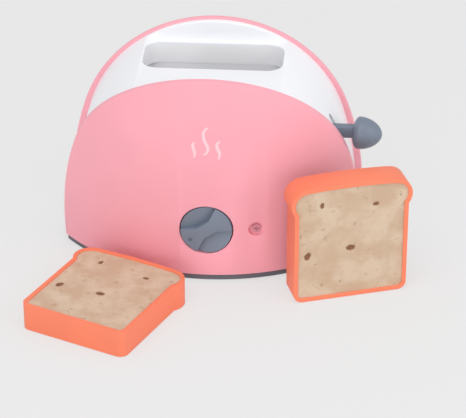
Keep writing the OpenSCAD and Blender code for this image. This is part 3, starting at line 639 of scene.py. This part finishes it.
def smooth_line(points: Sequence[Vector], steps: int) -> list[Vector]:
    """Rounds a chain of points with a Catmull-Rom curve through them.

    Args:
        points: The points.
        steps: Points of the result for each span.

    Returns:
        The finer chain.
    """
    padded = [points[0] * 2 - points[1], *points, points[-1] * 2 - points[-2]]
    result: list[Vector] = []
    for index in range(1, len(padded) - 2):
        a, b, c, d = padded[index - 1:index + 3]
        for step in range(steps):
            t = step / steps
            result.append(0.5 * (2 * b + (c - a) * t + (2 * a - 5 * b + 4 * c - d) * t * t
                                 + (3 * b - a - 3 * c + d) * t ** 3))
    result.append(points[-1])
    return result


@dataclass
class Controls:
    """The lever and the dial."""

    slate: Moulded = Moulded("slate_plastic", colour(118, 129, 145), 0.36)
    edge: float = 0.5 * MM

    def build(self) -> None:
        """Makes the lever's and the dial's pieces."""
        shader = self.slate.build()
        for node, radius in (("lever", 0.6 * MM), ("dial_knob", self.edge), ("lever_knob", 0.6 * MM)):
            mesh = clean_copy(node)
            round_edges(mesh, radius, angle=30.0)
            body = "dial" if node == "dial_knob" else "push_lever"
            finish_piece(f"{node}_rounded", mesh, body, shader, [node])


@dataclass
class Slice:
    """One play slice: a crust with softened edges and two crumb faces with holes.

    Attributes:
        name: Name of the slice, as its body and its nodes have it.
        place: Turns and moves a slice that stands on its foot, facing -Y, to its place.
    """

    name: str
    place: Matrix
    width: float = 80 * MM
    height: float = 88 * MM
    depth: float = 19.3 * MM
    drop: float = 1.0 * MM
    pitch: float = 1.1 * MM
    roughness: float = 0.16 * MM
    holes: tuple = ((-30.5, 35.2, 2.4, 3.2, 0.3), (0.0, 37.8, 3.6, 2.2, 0.0), (17.0, 69.5, 2.5, 1.5, 0.1),
                    (-18.5, 47.5, 1.0, 3.0, 0.6), (2.5, 56.0, 1.0, 2.2, 0.5), (-25.0, 28.0, 1.3, 1.0, 0.0),
                    (-21.0, 73.0, 1.4, 2.6, 0.1), (34.5, 74.0, 1.2, 1.6, 0.2), (-35.5, 51.0, 1.0, 2.4, 0.1),
                    (-7.0, 12.0, 1.5, 1.4, 0.2), (11.5, 14.5, 1.4, 0.8, 0.0), (-20.0, 11.0, 1.9, 0.8, 0.1))

    def build(self, crust: Shader, crumb: Shader) -> None:
        """Makes the crust and the crumb faces.

        Args:
            crust: Material of the crust.
            crumb: Material of the faces.
        """
        mesh = clean_copy(f"{self.name}_crust")
        round_edges(mesh, 0.9 * MM, angle=40.0, segments=3)
        finish_piece(f"{self.name}_crust_rounded", mesh, self.name, crust,
                     [f"{self.name}_crust"])
        self.faces(crumb)

    def faces(self, shader: Shader) -> None:
        """Both crumb faces as a relief of pores and holes."""
        mesh = clean_copy(f"{self.name}_pads")
        mesh.transform(self.place.inverted())
        reach = 46 * MM
        for axis, count in ((Vector((1, 0, 0)), int(2 * reach / self.pitch)),
                            (Vector((0, 0, 1)), int(self.height / self.pitch))):
            for index in range(count):
                start = -reach if axis.x else 0.0
                spot = axis * (start + (index + 0.5) * self.pitch)
                geometry = list(mesh.verts) + list(mesh.edges) + list(mesh.faces)
                bmesh.ops.bisect_plane(mesh, geom=geometry, plane_co=spot, plane_no=axis, dist=1e-7)
        # Each vertex keeps how deep its hollow is, which the crumb's material turns into painted shade.
        layer = mesh.verts.layers.float.new("hole")
        for vert in mesh.verts:
            front = abs(vert.co.y - self.drop) < 1e-5
            rear = abs(vert.co.y - (self.depth - self.drop)) < 1e-5
            if not (front or rear):
                continue
            if any(abs(face.normal.y) < 0.5 for face in vert.link_faces):
                continue
            x = vert.co.x if front else -vert.co.x
            hollow = self.hollow(x / MM, vert.co.z / MM)
            vert[layer] = hollow
            rough = noise.noise(Vector((x, vert.co.z, 0.3 if front else 0.8)) * 320) * 0.6
            rough += noise.noise(Vector((x, vert.co.z, 0.1)) * 900) * 0.4
            sink = hollow * 0.7 * MM + max(-0.3, rough) * self.roughness
            vert.co.y += sink if front else -sink
        mesh.transform(self.place)
        finish_piece(f"{self.name}_crumb", mesh, self.name, shader,
                     [f"{self.name}_pads"], sharp=60.0)

    def hollow(self, x: float, z: float) -> float:
        """How deep a hollow is at a spot.

        Args:
            x: Across the slice, in millimetres.
            z: Up the slice, in millimetres.

        Returns:
            0 outside the holes and up to 1 in them.
        """
        deepest = 0.0
        for at_x, at_z, half_x, half_z, lean in self.holes:
            dx, dz = x - at_x, z - at_z
            dx, dz = dx - lean * dz, dz
            wobble = 0.25 * noise.noise(Vector((x, z, at_x)) * 0.45)
            off_middle = math.hypot(dx / half_x, dz / half_z) + wobble
            big = 1.0 if half_x * half_z > 3.6 else 0.45
            deepest = max(deepest, big * min(1.0, max(0.0, 1.25 - off_middle) * 1.6))
        return deepest


@dataclass
class Bread:
    """The two play slices."""

    orange: Moulded = Moulded("crust_plastic", colour(246, 132, 98), 0.45, uneven=0.04)
    flat_corner: tuple[float, float] = (-119.4, -123.9)
    flat_turn: float = -24.3
    upright_corner: tuple[float, float] = (61.9, -80.6)
    upright_turn: float = 18.7
    half: float = 40.0

    def build(self) -> None:
        """Makes both slices."""
        crust = self.orange.build()
        crumb = Crumb().build()
        stand = (Matrix.Translation(Vector((*self.upright_corner, 0.0)) * MM)
                 @ Matrix.Rotation(math.radians(self.upright_turn), 4, "Z")
                 @ Matrix.Translation(Vector((self.half, 0.0, 0.0)) * MM))
        lie = (Matrix.Translation(Vector((*self.flat_corner, 0.0)) * MM)
               @ Matrix.Rotation(math.radians(self.flat_turn), 4, "Z")
               @ Matrix.Translation(Vector((self.half, 0.0, 19.3)) * MM)
               @ Matrix.Rotation(math.radians(-90), 4, "X"))
        Slice("upright_slice", stand).build(crust, crumb)
        Slice("flat_slice", lie).build(crust, crumb)


@dataclass
class Works:
    """Everything inside, and the screws, in finishes of their own."""

    finishes: dict[str, tuple[str, ...]] = field(default_factory=lambda: {
        "rods": ("guide_posts", "lever_rail", "latch_pin", "dial_spindle", "pallet", "lift_catch"),
        "screws": ("base_screws", "back_screws", "timer_screws"),
        "painted": ("front_screw",),
        "springs": ("mainspring",),
        "brass": ("latch_lever", "main_wheel", "second_wheel", "escape_wheel", "timer_front_plate",
                  "timer_back_plate", "timer_pillars"),
        "frame": ("slot_collar", "toast_well", "well_walls"),
        "inner": ("chassis", "carriage", "lift_bushes", "lift_bracket")})

    lift_travel: float = 26.08 * MM

    def build(self) -> None:
        """Dresses the CAD nodes of the works."""
        made = {
            "rods": Metal("drawn_steel", colour(190, 192, 196), 0.28),
            "screws": Metal("zinc_plated_steel", colour(176, 178, 184), 0.36, (3.0, 3.0, 3.0)),
            "springs": Metal("spring_steel", colour(150, 152, 158), 0.3, (2.0, 2.0, 12.0)),
            "brass": Metal("stamped_brass", colour(212, 178, 104), 0.34, (2.0, 9.0, 9.0)),
            "painted": Moulded("painted_screw", colour(206, 134, 150), 0.35),
            "frame": Moulded("well_plastic", colour(246, 246, 248), 0.45),
            "inner": Moulded("inner_plastic", colour(176, 178, 182), 0.5)}
        for key, finish in made.items():
            shader = finish.build()
            dress(self.finishes[key], shader)
            if key == "springs":
                self.return_springs(shader)

    def return_springs(self, shader: Shader) -> None:
        """Return springs as a piece of their own, with merged vertices and a mesh of its own."""
        mesh = bmesh.new()
        mesh.from_mesh(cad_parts["return_springs"].data)
        bmesh.ops.remove_doubles(mesh, verts=mesh.verts, dist=2e-6)
        piece = finish_piece("return_springs_wound", mesh, "toaster", shader,
                             ["return_springs"])
        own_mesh(piece)


@dataclass
class Studio:
    """Camera, lamps and floor."""

    target: tuple[float, float, float] = (19.9, -76.1, 70.0)
    azimuth: float = 3.96
    elevation: float = 29.59
    distance: float = 1566.0
    focal_px: float = 2336.0
    image_px: float = 466.0
    backdrop: Colour = colour(233, 233, 233)

    def build(self) -> None:
        """Sets the whole studio up."""
        self.camera()
        self.floor()
        self.lamps()
        bpy.context.scene.view_settings.view_transform = "Standard"

    def camera(self) -> None:
        """Camera at the photograph's place."""
        a, e = math.radians(self.azimuth), math.radians(self.elevation)
        back = Vector((math.sin(a) * math.cos(e), -math.cos(a) * math.cos(e), math.sin(e)))
        data = bpy.data.cameras.new("camera")
        data.sensor_width = 36.0
        data.sensor_fit = "HORIZONTAL"
        data.lens = self.focal_px / self.image_px * data.sensor_width
        data.clip_start = 0.05
        data.clip_end = 50.0
        made = bpy.data.objects.new("camera", data)
        bpy.context.scene.collection.objects.link(made)
        made.location = (Vector(self.target) + back * self.distance) * MM
        made.rotation_euler = back.to_track_quat("Z", "Y").to_euler()
        bpy.context.scene.camera = made

    def floor(self) -> None:
        """Wide pale floor that shows the backdrop's colour and keeps a soft shadow."""
        mesh = bmesh.new()
        bmesh.ops.create_grid(mesh, x_segments=1, y_segments=1, size=6.0)
        bmesh.ops.translate(mesh, verts=mesh.verts, vec=Vector((0.0, 0.0, -0.0003)))
        data = bpy.data.meshes.new("floor")
        mesh.to_mesh(data)
        mesh.free()
        shader = Shader("floor_paper", Base_Color=self.backdrop, Roughness=0.9, Specular_IOR_Level=0.0)
        glow = shader.node("ShaderNodeEmission", inputs={"Color": self.backdrop, "Strength": 1.0})
        path = shader.node("ShaderNodeLightPath", output="Is Camera Ray")
        mixed = shader.node("ShaderNodeMixShader", inputs={
            0: path * 0.72, 1: Field(shader, shader.surface.outputs[0]), 2: glow})
        shader.tree.links.new(mixed.socket, shader.tree.nodes["Material Output"].inputs["Surface"])
        data.materials.append(shader.material)
        made = bpy.data.objects.new("floor", data)
        bpy.context.scene.collection.objects.link(made)

    def lamps(self) -> None:
        """A big soft lamp above the front, softer ones at the right and low in front, and an even room."""
        world = bpy.data.worlds.new("room")
        world.use_nodes = True
        world.node_tree.nodes["Background"].inputs["Color"].default_value = (1.0, 1.0, 1.0, 1.0)
        world.node_tree.nodes["Background"].inputs["Strength"].default_value = 0.7
        bpy.context.scene.world = world
        self.lamp("key", (-0.2, -0.9, 1.8), 1.5, 13.0)
        self.lamp("fill", (1.4, -0.6, 0.7), 1.2, 5.5)
        self.lamp("front", (-0.3, -1.6, 0.35), 1.2, 5.5)

    def lamp(self, name: str, place: tuple[float, float, float], size: float, power: float) -> None:
        """Adds a square soft lamp aimed at the toaster.

        Args:
            name: Name of the lamp.
            place: Where it stands, in metres.
            size: Side of its square in metres.
            power: Power in watts.
        """
        data = bpy.data.lights.new(name, "AREA")
        data.shape = "SQUARE"
        data.size = size
        data.energy = power
        made = bpy.data.objects.new(name, data)
        bpy.context.scene.collection.objects.link(made)
        made.location = place
        made.rotation_euler = (Vector(place) - Vector((0.0, -0.02, 0.06))).to_track_quat("Z", "Y").to_euler()


def main() -> None:
    """Builds every sub-assembly."""
    logging.basicConfig(level=logging.INFO, format="%(name)s: %(message)s")
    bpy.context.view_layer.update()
    Studio().build()
    Casing().build()
    Controls().build()
    Bread().build()
    Works().build()


if __name__ == "__main__":
    main()
